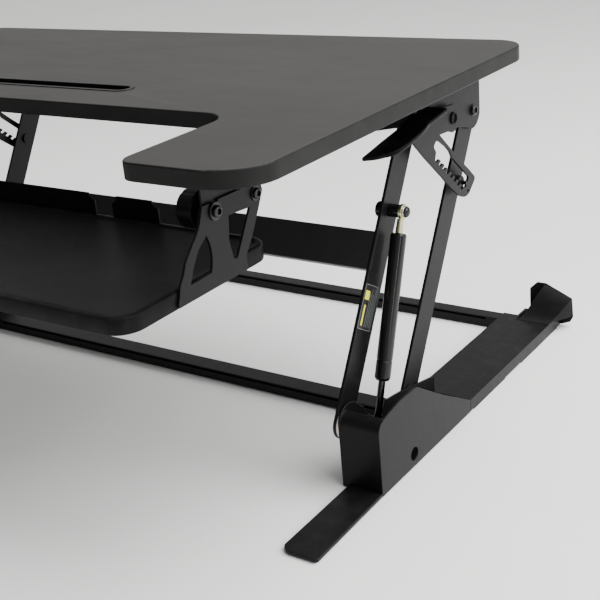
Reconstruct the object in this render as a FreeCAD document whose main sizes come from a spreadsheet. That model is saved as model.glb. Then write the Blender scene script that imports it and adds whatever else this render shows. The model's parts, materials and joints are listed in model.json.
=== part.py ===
"""Two-tier standing desk converter on a pair of parallel-arm lifts.

A U-shaped worktop stands on two pairs of flat steel arms that rise from a low
steel base.  The front and rear arms of each side are parallel and of equal
length, so the worktop stays level while it swings down and back.  A gas spring
on each side carries the load, and a squeeze lever with a toothed slot holds
the height by hooking a pin on the rear arm.  A keyboard tray hangs under the
front of the worktop.

Frame: millimetres, +X to the user's right, +Y away from the user, +Z up.  The
origin is on the table under the middle of the object.  The pose drawn is the
fully raised one.  Every size lives in the spreadsheet "Dims"; the right-hand
pieces are drawn and the left-hand ones are their mirror images.
"""
import FreeCAD, Part
import math
import os

import Sketcher

doc = FreeCAD.newDocument("desk_converter")
sheet = doc.addObject("Spreadsheet::Sheet", "Dims")
VEC = FreeCAD.Vector
cells = {}
nodes = {}


def cell(alias, value):
    """Store one driving size in the sheet under its alias."""
    if alias not in cells:
        row = str(len(cells) + 1)
        sheet.set("A" + row, alias)
        sheet.set("B" + row, repr(float(value)))
        sheet.setAlias("B" + row, alias)
        cells[alias] = float(value)
    return "Dims." + alias


# --- driving sizes ---------------------------------------------------------
SIZES = {
    # worktop
    "top_half_width": 457.0,
    "top_underside": 411.0,
    "top_thickness": 17.0,
    "top_back": 216.5,
    "top_front": -337.0,
    "cutout_back": -172.0,
    "cutout_half_width": 318.5,
    # lift linkage: pivot centres in the raised pose
    "front_foot_y": -107.0,
    "front_foot_z": 72.0,
    "rear_foot_y": 35.0,
    "rear_foot_z": 40.0,
    "front_head_y": 75.0,
    "front_head_z": 374.0,
    "rear_head_y": 217.0,
    "rear_head_z": 342.0,
    "arm_inner_x": 372.5,
    "arm_thickness": 3.8,
    "arm_half_width": 17.5,
    "arm_pin_radius": 5.0,
    "running_clearance": 0.05,
    "open_pivot_clearance": 0.3,
    # base
    "foot_outer_x": 429.5,
    "rail_inner_x": 355.0,
    "housing_inner_x": 378.3,
    "sheet_wall": 2.5,
    "rail_top": 17.0,
    "pad_height": 1.5,
    # gas spring
    "spring_x": 390.5,
    "spring_stud_along_arm": 240.0,
    "spring_anchor_y": -68.0,
    "spring_anchor_z": 37.0,
    # release lever
    "lever_x": 386.5,
    "lever_thickness": 3.0,
    "lever_pivot_y": 148.7,
    "lever_pivot_z": 349.5,
    "ratchet_pin_along_arm": 90.0,
    "ratchet_pin_radius": 2.4,
    # keyboard tray
    "tray_half_width": 338.0,
    "tray_front": -374.8,
    "tray_back": -152.0,
    "tray_bottom": 279.5,
    "tray_thickness": 17.5,
    "tray_bracket_x": 338.0,
    "tray_bracket_thickness": 3.0,
    "tray_pivot_y": -175.7,
    "tray_pivot_z": 352.6,
    "tray_clamp_y": -239.0,
    "tray_clamp_z": 354.5,
}
for alias_name, size in SIZES.items():
    cell(alias_name, size)

ARM_DY = SIZES["front_head_y"] - SIZES["front_foot_y"]
ARM_DZ = SIZES["front_head_z"] - SIZES["front_foot_z"]
ARM_LENGTH = math.hypot(ARM_DY, ARM_DZ)
ARM_ANGLE = math.degrees(math.atan2(ARM_DZ, ARM_DY))
cell("arm_length", ARM_LENGTH)
cell("arm_angle", ARM_ANGLE)
ALONG = (ARM_DY / ARM_LENGTH, ARM_DZ / ARM_LENGTH)
cell("spring_stud_y", SIZES["front_foot_y"] + SIZES["spring_stud_along_arm"] * ALONG[0])
cell("spring_stud_z", SIZES["front_foot_z"] + SIZES["spring_stud_along_arm"] * ALONG[1])
cell("ratchet_pin_y", SIZES["rear_head_y"] - SIZES["ratchet_pin_along_arm"] * ALONG[0])
cell("ratchet_pin_z", SIZES["rear_head_z"] - SIZES["ratchet_pin_along_arm"] * ALONG[1])


# --- drawing helpers -------------------------------------------------------
def place_vertex(sketch, geo, end, tag, first, second):
    """Tie one sketch point to two sheet cells, or to an axis where it is zero."""
    for kind, axis_geo, value, suffix in (
        ("DistanceX", -2, first, "a"),
        ("DistanceY", -1, second, "b"),
    ):
        if abs(value) < 1e-9:
            sketch.addConstraint(Sketcher.Constraint("PointOnObject", geo, end, axis_geo))
            continue
        index = sketch.addConstraint(Sketcher.Constraint(kind, -1, 1, geo, end, value))
        label = tag + "_" + suffix
        sketch.renameConstraint(index, label)
        sketch.setExpression("Constraints." + label, cell(sketch.Label + "_" + label, value))


def draw_loop(sketch, points, loop_name):
    """Draw a closed loop of vertices (a, b) or (a, b, radius).

    A radius turns the side that starts at that vertex into an arc; positive
    bulges to the left of the direction of travel, negative to the right.
    """
    first_geo = sketch.GeometryCount
    count = len(points)
    for i, point in enumerate(points):
        start = VEC(point[0], point[1], 0)
        following = points[(i + 1) % count]
        finish = VEC(following[0], following[1], 0)
        if len(point) == 2:
            sketch.addGeometry(Part.LineSegment(start, finish), False)
            continue
        radius = abs(point[2])
        chord = finish.sub(start)
        normal = VEC(-chord.y, chord.x, 0).normalize()
        side = 1.0 if point[2] > 0 else -1.0
        sagitta = radius - math.sqrt(max(0.0, radius ** 2 - (chord.Length / 2) ** 2))
        middle = start.add(chord.multiply(0.5)).add(normal.multiply(side * sagitta))
        sketch.addGeometry(Part.Arc(start, middle, finish), False)
    ends = []
    for i in range(count):
        geo = first_geo + i
        start = VEC(points[i][0], points[i][1], 0)
        flipped = sketch.getPoint(geo, 1).distanceToPoint(start) > 1e-6
        ends.append((2, 1) if flipped else (1, 2))
    for i in range(count):
        nxt = (i + 1) % count
        sketch.addConstraint(
            Sketcher.Constraint("Coincident", first_geo + i, ends[i][1], first_geo + nxt, ends[nxt][0])
        )
    for i, point in enumerate(points):
        tag = loop_name + str(i + 1)
        place_vertex(sketch, first_geo + i, ends[i][0], tag, point[0], point[1])
        if len(point) == 3:
            index = sketch.addConstraint(Sketcher.Constraint("Radius", first_geo + i, abs(point[2])))
            label = tag + "_rad"
            sketch.renameConstraint(index, label)
            sketch.setExpression("Constraints." + label, cell(sketch.Label + "_" + label, abs(point[2])))


def draw_circle(sketch, centre_y, centre_z, radius, name):
    """Draw a circle whose centre and radius come from the sheet."""
    geo = sketch.addGeometry(
        Part.Circle(VEC(centre_y, centre_z, 0), VEC(0, 0, 1), radius), False
    )
    place_vertex(sketch, geo, 3, name, centre_y, centre_z)
    index = sketch.addConstraint(Sketcher.Constraint("Radius", geo, radius))
    label = name + "_rad"
    sketch.renameConstraint(index, label)
    sketch.setExpression("Constraints." + label, cell(sketch.Label + "_" + label, radius))


def new_sketch(body, name, role, offset):
    """Make a sketch on one of the body's own planes, at a sheet-driven offset."""
    sketch = body.newObject("Sketcher::SketchObject", name)
    plane = [item for item in body.Origin.OriginFeatures if item.Role == role][0]
    sketch.AttachmentSupport = [(plane, "")]
    sketch.MapMode = "FlatFace"
    sketch.setExpression(".AttachmentOffset.Base.z", offset)
    return sketch


def new_body(name):
    body = doc.addObject("PartDesign::Body", name)
    body.Label = name
    return body


def add_pad(body, name, role, offset, length, loops, circles=(), backwards=False):
    """Pad closed loops drawn on a body plane by a sheet-driven length."""
    sketch = new_sketch(body, name + "_outline", role, offset)
    for index, loop in enumerate(loops):
        draw_loop(sketch, loop, "p" if index == 0 else "q" + str(index) + "n")
    for index, (centre_y, centre_z, radius) in enumerate(circles):
        draw_circle(sketch, centre_y, centre_z, radius, "c" + str(index + 1))
    pad = body.newObject("PartDesign::Pad", name + "_pad")
    pad.Profile = sketch
    pad.Reversed = backwards
    pad.setExpression("Length", length)
    body.Tip = pad
    doc.recompute()
    return pad


def add_pocket(body, name, role, offset, length, loops, circles=(), backwards=False):
    """Cut closed loops out of a body, and insist that something was removed."""
    volume_before = body.Shape.Volume
    sketch = new_sketch(body, name + "_outline", role, offset)
    for index, loop in enumerate(loops):
        draw_loop(sketch, loop, "p" if index == 0 else "q" + str(index) + "n")
    for index, (centre_y, centre_z, radius) in enumerate(circles):
        draw_circle(sketch, centre_y, centre_z, radius, "c" + str(index + 1))
    pocket = body.newObject("PartDesign::Pocket", name + "_cut")
    pocket.Profile = sketch
    pocket.Reversed = backwards
    pocket.setExpression("Length", length)
    body.Tip = pocket
    doc.recompute()
    if body.Shape.Volume >= volume_before - 0.01:
        raise RuntimeError(name + " removed nothing")
    return pocket


def round_edges(body, name, radius, chosen):
    """Fillet every edge of the body's tip that the test function accepts."""
    base = body.Tip
    edges = []
    for index, edge in enumerate(base.Shape.Edges):
        if chosen(edge):
            edges.append("Edge" + str(index + 1))
    if not edges:
        raise RuntimeError(name + " found no edge")
    fillet = body.newObject("PartDesign::Fillet", name)
    fillet.Base = (base, edges)
    fillet.setExpression("Radius", cell(name + "_radius", radius))
    body.Tip = fillet
    doc.recompute()


def edge_at(axis, spots):
    """Pick straight edges along an axis that pass through listed spots."""
    others = [i for i in range(3) if i != axis]

    def test(edge):
        if len(edge.Vertexes) != 2:
            return False
        ends = [tuple(v.Point) for v in edge.Vertexes]
        if any(abs(ends[0][i] - ends[1][i]) > 1e-4 for i in others):
            return False
        here = [ends[0][i] for i in others]
        return any(math.dist(here, spot) < 0.05 for spot in spots)

    return test


def edges_in_plane(axis, level):
    """Pick every edge that lies in one plane across the given axis."""

    def test(edge):
        box = edge.BoundBox
        low = (box.XMin, box.YMin, box.ZMin)[axis]
        high = (box.XMax, box.YMax, box.ZMax)[axis]
        return abs(low - level) < 1e-3 and abs(high - level) < 1e-3

    return test


def stepped_pin(name, steps, at_y, at_z):
    """Turn a stepped pin about an axis along X from (x0, x1, radius) steps."""
    body = new_body(name)
    outline = [(steps[0][0], 0.0)]
    for start, finish, radius in steps:
        outline.append((start, radius))
        outline.append((finish, radius))
    outline.append((steps[-1][1], 0.0))
    sketch = new_sketch(body, name + "_outline", "XY_Plane", cell("zero_offset", 0.0))
    draw_loop(sketch, outline, "p")
    turn = body.newObject("PartDesign::Revolution", name + "_turn")
    turn.Profile = sketch
    turn.ReferenceAxis = (sketch, ["H_Axis"])
    turn.setExpression("Angle", cell("full_turn", 360.0))
    body.Tip = turn
    body.setExpression(".Placement.Base.y", at_y)
    body.setExpression(".Placement.Base.z", at_z)
    return body


def mirrored(name, source):
    """Make the left-hand twin of a right-hand piece."""
    twin = doc.addObject("Part::Mirroring", name)
    twin.Label = name
    twin.Source = source
    twin.Normal = VEC(1, 0, 0)
    return twin


def gathered(name, members):
    """Gather identical separate solids into one node."""
    group = doc.addObject("Part::Compound", name)
    group.Label = name
    group.Links = members
    return group


def keep_pair(stem, body):
    """Keep a right-hand body and its mirror image as two nodes."""
    body.Label = stem + "_right"
    nodes[stem + "_right"] = body
    nodes[stem + "_left"] = mirrored(stem + "_left", body)


def keep_both(name, bodies):
    """Keep right-hand bodies and their mirror images as one node."""
    twins = [mirrored(body.Name + "_twin", body) for body in bodies]
    nodes[name] = gathered(name, bodies + twins)


def bolt_down(name, radius, length, at_x, at_y, at_z):
    """Make a plain vertical cylinder, such as a screw head or its shank."""
    piece = doc.addObject("Part::Cylinder", name)
    piece.setExpression("Radius", cell(name + "_radius", radius))
    piece.setExpression("Height", cell(name + "_height", length))
    piece.setExpression(".Placement.Base.x", cell(name + "_x", at_x))
    piece.setExpression(".Placement.Base.y", cell(name + "_y", at_y))
    piece.setExpression(".Placement.Base.z", cell(name + "_z", at_z))
    return piece


WALL = "Dims.sheet_wall"
F_Y, F_Z = SIZES["front_foot_y"], SIZES["front_foot_z"]
R_Y, R_Z = SIZES["rear_foot_y"], SIZES["rear_foot_z"]
H_Y, H_Z = SIZES["front_head_y"], SIZES["front_head_z"]
B_Y, B_Z = SIZES["rear_head_y"], SIZES["rear_head_z"]
PIN_R = SIZES["arm_pin_radius"]
RUN_R = PIN_R + SIZES["running_clearance"]
OPEN_R = PIN_R + SIZES["open_pivot_clearance"]
OUT_X = SIZES["foot_outer_x"]
HOUSE_X = SIZES["housing_inner_x"]
RAIL_X = SIZES["rail_inner_x"]
WALL_T = SIZES["sheet_wall"]
HOUSE_FRONT = -122.5
HOUSE_BACK = 90.7


# --- base ------------------------------------------------------------------
def make_foot_rail():
    """Low pressed-steel rail, open underneath, that runs back from the housing."""
    body = new_body("foot_rail")
    plan = [
        (RAIL_X, 20.0),
        (HOUSE_X, 20.0),
        (HOUSE_X, HOUSE_BACK),
        (OUT_X, HOUSE_BACK),
        (OUT_X, 372.3),
        (376.0, 372.3),
        (376.0, 347.5),
        (RAIL_X, 347.5),
    ]
    add_pad(body, "rail", "XY_Plane", "Dims.pad_height", "Dims.rail_top - Dims.pad_height", [plan])
    hollow = [
        (RAIL_X + WALL_T, 22.5),
        (HOUSE_X - WALL_T, 22.5),
        (HOUSE_X - WALL_T, 93.2),
        (OUT_X - WALL_T, 93.2),
        (OUT_X - WALL_T, 369.5),
        (378.5, 369.5),
        (378.5, 345.0),
        (RAIL_X + WALL_T, 345.0),
    ]
    add_pocket(
        body, "rail_hollow", "XY_Plane", "Dims.pad_height",
        "Dims.rail_top - Dims.pad_height - Dims.sheet_wall", [hollow], backwards=True,
    )
    relief = [(380.5, 331.0), (405.0, 368.0), (380.5, 368.0)]
    add_pocket(body, "rail_relief", "XY_Plane", "Dims.rail_top", "Dims.sheet_wall + Dims.pad_height", [relief])
    return body


def make_rear_stop():
    """Upright end plate and ramp that the lowered worktop frame rests above."""
    body = new_body("rear_stop")
    plate = [
        (384.0, 1.6),
        (384.0, 49.0),
        (394.9, 59.8),
        (407.7, 59.6),
        (446.0, 42.3),
        (447.9, 15.3),
        (443.6, 7.0),
        (431.0, 1.6),
    ]
    add_pad(body, "stop_plate", "XZ_Plane", cell("stop_plate_offset", -372.3), WALL, [plate], backwards=True)
    ramp = [(330.5, 17.0), (372.3, 17.0), (372.3, 45.5), (369.8, 45.5)]
    add_pad(body, "stop_ramp", "YZ_Plane", cell("stop_ramp_offset", 380.5), cell("stop_ramp_width", 48.0), [ramp])
    slant = [(370.0, 320.0), (376.0, 325.0), (407.0, 372.3), (370.0, 372.3)]
    add_pocket(body, "stop_slant", "XY_Plane", cell("stop_slant_offset", 70.0), cell("stop_slant_depth", 52.95), [slant])
    return body


def make_pivot_housing():
    """Open-topped folded housing that carries the arm pivots and the spring foot."""
    body = new_body("pivot_housing")
    low = SIZES["pad_height"]
    front = HOUSE_FRONT
    back = HOUSE_BACK
    outer = [
        (front, low),
        (back, low),
        (back, 17.0),
        (26.5, 54.4),
        (-8.3, 76.2),
        (-31.0, 91.0, -24.0),
        (-48.4, 95.6),
        (-75.3, 96.0),
        (-101.7, 92.0, -60.0),
        (-114.7, 88.5, -13.0),
        (front, 76.0),
    ]
    add_pad(body, "outer_wall", "YZ_Plane", "Dims.foot_outer_x - Dims.sheet_wall", WALL, [outer])
    inner = [
        (front, low),
        (back, low),
        (back, 39.5),
        (4.0, 57.8),
        (-24.0, 61.6),
        (-33.0, 47.0),
        (-53.2, 55.2),
        (-65.2, 64.4),
        (-72.3, 76.7),
        (-84.0, 86.5, -24.0),
        (-120.0, 87.5, -21.0),
        (front, 76.0),
    ]
    pins = [(F_Y, F_Z, PIN_R), (R_Y, R_Z, PIN_R), (SIZES["spring_anchor_y"], SIZES["spring_anchor_z"], 4.0)]
    add_pad(body, "inner_wall", "YZ_Plane", "Dims.housing_inner_x", WALL, [inner], pins)
    floor = [(HOUSE_X, front), (OUT_X, front), (OUT_X, back), (HOUSE_X, back)]
    add_pad(body, "housing_floor", "XY_Plane", "Dims.pad_height", WALL, [floor])
    face = [(HOUSE_X, low), (OUT_X, low), (OUT_X, 76.0), (HOUSE_X, 76.0)]
    add_pad(body, "front_face", "XZ_Plane", cell("front_face_offset", 122.5), WALL, [face], backwards=True)
    lip = [
        (front, 73.5),
        (-120.0, 73.5),
        (-120.0, 76.0, 10.5),
        (-113.4, 86.2),
        (-107.4, 87.9),
        (-108.0, 90.3),
        (-114.7, 88.5, -13.0),
        (front, 76.0),
    ]
    add_pad(
        body, "top_lip", "YZ_Plane", "Dims.housing_inner_x",
        "Dims.foot_outer_x - Dims.housing_inner_x", [lip],
    )
    add_pocket(
        body, "access_hole", "YZ_Plane", "Dims.foot_outer_x + 1", cell("access_hole_depth", 6.0),
        [], [(-50.0, 16.7, 8.0)],
    )
    return body


def make_front_tongue():
    """Flat steel tongue on the table in front of the housing, for stability."""
    body = new_body("front_tongue")
    plan = [
        (386.5, HOUSE_FRONT),
        (386.5, -247.0, -14.0),
        (397.5, -256.5),
        (427.0, -256.5, -5.0),
        (431.5, -252.0),
        (429.5, HOUSE_FRONT),
    ]
    add_pad(body, "tongue", "XY_Plane", "Dims.pad_height", cell("tongue_thickness", 4.0), [plan])
    return body


def make_crossbar(name, front, depth):
    """Square-edged bar between the feet, with a shadow groove along its front."""
    body = new_body(name)
    section = [
        (front, 1.5),
        (front + depth, 1.5),
        (front + depth, 17.0),
        (front, 17.0),
    ]
    add_pad(
        body, name + "_bar", "YZ_Plane", "-Dims.rail_inner_x",
        "2 * Dims.rail_inner_x", [section],
    )
    groove = [(front - 1.0, 12.6), (front + 5.0, 12.6), (front + 5.0, 15.0), (front - 1.0, 15.0)]
    add_pocket(
        body, name + "_groove", "YZ_Plane", cell(name + "_groove_end", -337.0),
        cell(name + "_groove_length", 674.0), [groove], backwards=True,
    )
    return body


def make_pads():
    """Thin rubber strips that keep the steel off the table."""
    strips = []
    for label, width, depth, at_x, at_y in (
        ("pad_tongue", 28.0, 90.0, 394.0, -240.0),
        ("pad_housing", 36.0, 60.0, 386.0, -110.0),
        ("pad_rail_front", 2.4, 90.0, 427.05, 100.0),
        ("pad_rail_back", 2.4, 120.0, 427.05, 240.0),
        ("pad_rail_inner", 2.4, 200.0, 355.05, 120.0),
    ):
        strip = doc.addObject("Part::Box", label)
        strip.setExpression("Length", cell(label + "_width", width))
        strip.setExpression("Width", cell(label + "_depth", depth))
        strip.setExpression("Height", "Dims.pad_height")
        strip.setExpression(".Placement.Base.x", cell(label + "_x", at_x))
        strip.setExpression(".Placement.Base.y", cell(label + "_y", at_y))
        strips.append(strip)
    keep_both("base_pads", strips)


keep_pair("foot_rail", make_foot_rail())
keep_pair("rear_stop", make_rear_stop())
keep_pair("pivot_housing", make_pivot_housing())
keep_pair("front_tongue", make_front_tongue())
nodes["front_crossbar"] = make_crossbar("front_crossbar", 26.5, 26.0)
nodes["rear_crossbar"] = make_crossbar("rear_crossbar", 325.0, 20.0)
make_pads()

# pivot pins of the base: a domed head inboard, the arm, the washer and a nut
FOOT_STEPS = [
    (368.5, 372.3, 9.0),
    (372.3, 380.8, PIN_R),
    (380.8, 386.0, 8.0),
]
keep_both("front_foot_pins", [
    stepped_pin("front_foot_pin", FOOT_STEPS, "Dims.front_foot_y", "Dims.front_foot_z"),
])
keep_both("rear_foot_pins", [
    stepped_pin("rear_foot_pin", FOOT_STEPS, "Dims.rear_foot_y", "Dims.rear_foot_z"),
])


def make_washer(name, radius, at_y, at_z):
    """Nylon washer between an arm and its support."""
    body = new_body(name)
    add_pad(
        body, name + "_ring", "YZ_Plane", cell("washer_x", 376.5), cell("washer_thickness", 1.8),
        [], [(0.0, 0.0, radius), (0.0, 0.0, PIN_R + 0.02)],
    )
    body.setExpression(".Placement.Base.y", at_y)
    body.setExpression(".Placement.Base.z", at_z)
    return body


keep_both("foot_washers", [
    make_washer("front_foot_washer", 17.0, "Dims.front_foot_y", "Dims.front_foot_z"),
    make_washer("rear_foot_washer", 13.0, "Dims.rear_foot_y", "Dims.rear_foot_z"),
])
ANCHOR_STEPS = [(380.8, 385.0, 6.5), (385.0, 396.5, 4.0), (396.5, 400.0, 10.5)]
anchor = stepped_pin("spring_anchor", [(378.3, 380.8, 4.0)] + ANCHOR_STEPS,
                     "Dims.spring_anchor_y", "Dims.spring_anchor_z")
keep_both("spring_anchors", [anchor])


# --- lift arms -------------------------------------------------------------
def make_arm(name, hole_at_head, extra_holes, tab):
    """Flat arm drawn along +Y from its foot pivot, then tilted about that pivot."""
    body = new_body(name)
    half = SIZES["arm_half_width"]
    outline = [
        (0.0, half, -half),
        (-half, 0.0, -half),
        (0.0, -half),
        (ARM_LENGTH, -half, -half),
        (ARM_LENGTH + half, 0.0, -half),
        (ARM_LENGTH, half),
    ]
    holes = [(0.0, 0.0, RUN_R), (ARM_LENGTH, 0.0, hole_at_head)] + extra_holes
    add_pad(body, name + "_flat", "YZ_Plane", "Dims.arm_inner_x", "Dims.arm_thickness", [outline], holes)
    if tab:
        patch = [(170.0, -1.5), (211.0, -1.5), (211.0, 16.0), (170.0, 16.0)]
        add_pad(
            body, name + "_tab", "YZ_Plane", "Dims.arm_inner_x + Dims.arm_thickness",
            cell("weld_tab_height", 0.8), [patch],
        )
    foot = "front_foot" if tab else "rear_foot"
    body.Placement = FreeCAD.Placement(VEC(0, 0, 0), FreeCAD.Rotation(VEC(1, 0, 0), ARM_ANGLE))
    body.setExpression(".Placement.Rotation.Angle", "Dims.arm_angle * 1 deg")
    body.setExpression(".Placement.Base.y", "Dims." + foot + "_y")
    body.setExpression(".Placement.Base.z", "Dims." + foot + "_z")
    return body


stud_hole = (SIZES["spring_stud_along_arm"], 0.0, 6.0)
pin_hole = (ARM_LENGTH - SIZES["ratchet_pin_along_arm"], 0.0, 4.5)
keep_pair("front_arm", make_arm("front_arm", RUN_R, [stud_hole], True))
keep_pair("rear_arm", make_arm("rear_arm", OPEN_R, [pin_hole], False))


def make_arm_crossbar():
    """Rectangular tube welded between the two front arms."""
    body = new_body("arm_crossbar")
    outer = [(169.0, -2.0), (212.0, -2.0), (212.0, 17.0), (169.0, 17.0)]
    bore = [(171.0, 0.0), (210.0, 0.0), (210.0, 15.0), (171.0, 15.0)]
    add_pad(
        body, "arm_tube", "YZ_Plane", "-Dims.arm_inner_x",
        "2 * Dims.arm_inner_x", [outer, bore],
    )
    body.Placement = FreeCAD.Placement(VEC(0, 0, 0), FreeCAD.Rotation(VEC(1, 0, 0), ARM_ANGLE))
    body.setExpression(".Placement.Rotation.Angle", "Dims.arm_angle * 1 deg")
    body.setExpression(".Placement.Base.y", "Dims.front_foot_y")
    body.setExpression(".Placement.Base.z", "Dims.front_foot_z")
    return body


nodes["arm_crossbar"] = make_arm_crossbar()

STUD_STEPS = [
    (361.0, 372.5, 9.0),
    (372.5, 376.3, 6.0),
    (376.3, 389.9, 7.5),
    (389.9, 394.7, 4.0),
    (394.7, 396.6, 6.5),
    (396.6, 400.5, 4.2),
]
keep_both("spring_studs", [
    stepped_pin("spring_stud", STUD_STEPS, "Dims.spring_stud_y", "Dims.spring_stud_z"),
])
RATCHET_STEPS = [
    (369.0, 372.5, 7.0),
    (372.5, 376.3, 4.5),
    (376.3, 385.9, 8.0),
    (385.9, 393.0, SIZES["ratchet_pin_radius"]),
]
keep_pair("ratchet_pin", stepped_pin("ratchet_pin", RATCHET_STEPS,
                                     "Dims.ratchet_pin_y", "Dims.ratchet_pin_z"))

# --- gas springs -----------------------------------------------------------
SPAN = math.hypot(
    cells["spring_stud_y"] - SIZES["spring_anchor_y"],
    cells["spring_stud_z"] - SIZES["spring_anchor_z"],
)
SPRING_TILT = math.degrees(math.atan2(
    cells["spring_stud_z"] - SIZES["spring_anchor_z"],
    cells["spring_stud_y"] - SIZES["spring_anchor_y"],
))
cell("spring_span", SPAN)
cell("spring_tilt", SPRING_TILT)


def lay_on_spring_axis(body):
    """Tilt a body drawn along +Y from the lower anchor onto the spring's axis."""
    body.Placement = FreeCAD.Placement(VEC(0, 0, 0), FreeCAD.Rotation(VEC(1, 0, 0), SPRING_TILT))
    body.setExpression(".Placement.Rotation.Angle", "Dims.spring_tilt * 1 deg")
    body.setExpression(".Placement.Base.x", "Dims.spring_x")
    body.setExpression(".Placement.Base.y", "Dims.spring_anchor_y")
    body.setExpression(".Placement.Base.z", "Dims.spring_anchor_z")


def turned_along_spring(body, name, outline):
    """Turn an outline of (distance, radius) about the spring's axis."""
    sketch = new_sketch(body, name + "_profile", "YZ_Plane", cell("zero_offset", 0.0))
    draw_loop(sketch, outline, "p")
    turn = body.newObject("PartDesign::Revolution", name + "_turn")
    turn.Profile = sketch
    turn.ReferenceAxis = (sketch, ["H_Axis"])
    turn.setExpression("Angle", cell("full_turn", 360.0))
    body.Tip = turn
    doc.recompute()


def make_spring_rod():
    """Polished rod with a flat eye that rides loosely on the lower anchor."""
    body = new_body("spring_rod")
    add_pad(
        body, "rod_eye", "YZ_Plane", cell("rod_eye_offset", -4.0), cell("rod_eye_width", 8.0),
        [], [(0.0, 0.0, 10.5), (0.0, 0.0, 6.6)],
    )
    turned_along_spring(body, "rod_shaft", [
        (8.5, 0.0),
        (8.5, 5.0),
        (20.0, 5.0),
        (20.0, 4.0),
        (120.0, 4.0),
        (120.0, 0.0),
    ])
    lay_on_spring_axis(body)
    return body


def make_spring_cylinder():
    """Pressure tube of the gas spring, closed at the top and open for the rod."""
    body = new_body("spring_cylinder")
    top = SPAN - 24.0
    turned_along_spring(body, "tube_shell", [
        (66.0, 4.06),
        (66.0, 7.0),
        (69.0, 9.0),
        (88.0, 9.0),
        (88.0, 8.5),
        (90.5, 8.5),
        (90.5, 9.0),
        (top - 2.0, 9.0),
        (top, 7.5),
        (top, 0.0),
        (top - 4.0, 0.0),
        (top - 4.0, 7.0),
        (70.0, 7.0),
        (70.0, 4.06),
    ])
    lay_on_spring_axis(body)
    return body


def make_spring_eye():
    """Plated end fitting that joins the pressure tube to the stud on the arm."""
    body = new_body("spring_eye")
    top = SPAN - 24.0
    add_pad(
        body, "eye_ring", "YZ_Plane", cell("eye_ring_offset", -0.2), cell("eye_ring_width", 4.2),
        [], [(SPAN, 0.0, 8.5), (SPAN, 0.0, 4.05)],
    )
    turned_along_spring(body, "eye_neck", [
        (top + 0.05, 0.0),
        (top + 0.05, 4.2),
        (SPAN - 8.0, 3.6),
        (SPAN - 8.0, 0.0),
    ])
    lay_on_spring_axis(body)
    return body


keep_pair("spring_rod", make_spring_rod())
keep_pair("spring_cylinder", make_spring_cylinder())
keep_pair("spring_eye", make_spring_eye())


# --- worktop ---------------------------------------------------------------
def make_worktop():
    """U-shaped laminate board with rounded corners and softened edges."""
    body = new_body("worktop_board")
    half = SIZES["top_half_width"]
    cut = SIZES["cutout_half_width"]
    back, front, inner = SIZES["top_back"], SIZES["top_front"], SIZES["cutout_back"]
    plan = [
        (-half, back),
        (-half, front),
        (-cut, front),
        (-cut, inner),
        (cut, inner),
        (cut, front),
        (half, front),
        (half, back),
    ]
    add_pad(body, "board", "XY_Plane", "Dims.top_underside", "Dims.top_thickness", [plan])
    round_edges(body, "board_rear_corners", 40.0, edge_at(2, [(-half, back), (half, back)]))
    round_edges(body, "board_wing_corners", 50.0, edge_at(2, [(-half, front), (half, front)]))
    round_edges(body, "board_wing_tips", 18.0, edge_at(2, [(-cut, front), (cut, front)]))
    round_edges(body, "board_cutout_corners", 30.0, edge_at(2, [(-cut, inner), (cut, inner)]))
    top = SIZES["top_underside"] + SIZES["top_thickness"]
    round_edges(body, "board_top_edge", 2.0, edges_in_plane(2, top))
    round_edges(body, "board_bottom_edge", 1.0, edges_in_plane(2, SIZES["top_underside"]))
    slot = [
        (-115.0, -89.0, -14.2),
        (-129.2, -103.2, -14.2),
        (-115.0, -117.4),
        (115.0, -117.4, -14.2),
        (129.2, -103.2, -14.2),
        (115.0, -89.0),
    ]
    add_pocket(body, "board_slot", "XY_Plane", "Dims.top_underside + Dims.top_thickness",
               cell("slot_recess_depth", 11.0), [slot])
    return body


def make_slot_trim():
    """Moulded liner of the tablet slot, with a thin raised rim."""
    body = new_body("slot_trim")
    outer = [
        (-115.0, -89.2, -14.0),
        (-129.0, -103.2, -14.0),
        (-115.0, -117.2),
        (115.0, -117.2, -14.0),
        (129.0, -103.2, -14.0),
        (115.0, -89.2),
    ]
    add_pad(body, "trim", "XY_Plane", cell("trim_bottom", 417.0), cell("trim_height", 11.9), [outer])
    groove = [
        (-115.0, -94.0, -9.2),
        (-124.2, -103.2, -9.2),
        (-115.0, -112.4),
        (115.0, -112.4, -9.2),
        (124.2, -103.2, -9.2),
        (115.0, -94.0),
    ]
    add_pocket(body, "trim_groove", "XY_Plane", cell("trim_top", 428.9), cell("trim_groove_depth", 10.0), [groove])
    return body


def make_top_bracket():
    """Angle bracket under the board that carries the arm heads and the lever."""
    body = new_body("top_bracket")
    web = [
        (237.0, 411.0),
        (-20.0, 411.0),
        (-20.0, 392.0),
        (-8.4, 373.8),
        (35.5, 365.9),
        (80.0, 346.0, -60.0),
        (128.0, 336.0),
        (168.2, 333.3),
        (201.0, 324.5, -20.5),
        (236.0, 335.5),
    ]
    web = list(reversed([(p[0], p[1]) for p in web]))
    web[0] = (236.0, 335.5, 22.0)
    holes = [(H_Y, H_Z, PIN_R), (B_Y, B_Z, PIN_R), (148.7, 349.5, PIN_R)]
    add_pad(body, "bracket_web", "YZ_Plane", cell("bracket_x", 378.4), cell("bracket_wall", 2.6), [web], holes)
    flange = [(350.0, -20.0), (378.6, -20.0), (378.6, 216.0), (350.0, 216.0)]
    add_pad(body, "bracket_flange", "XY_Plane", cell("flange_bottom", 408.4), cell("flange_wall", 2.6), [flange])
    return body


nodes["worktop_board"] = make_worktop()
nodes["slot_trim"] = make_slot_trim()
keep_pair("top_bracket", make_top_bracket())

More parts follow.
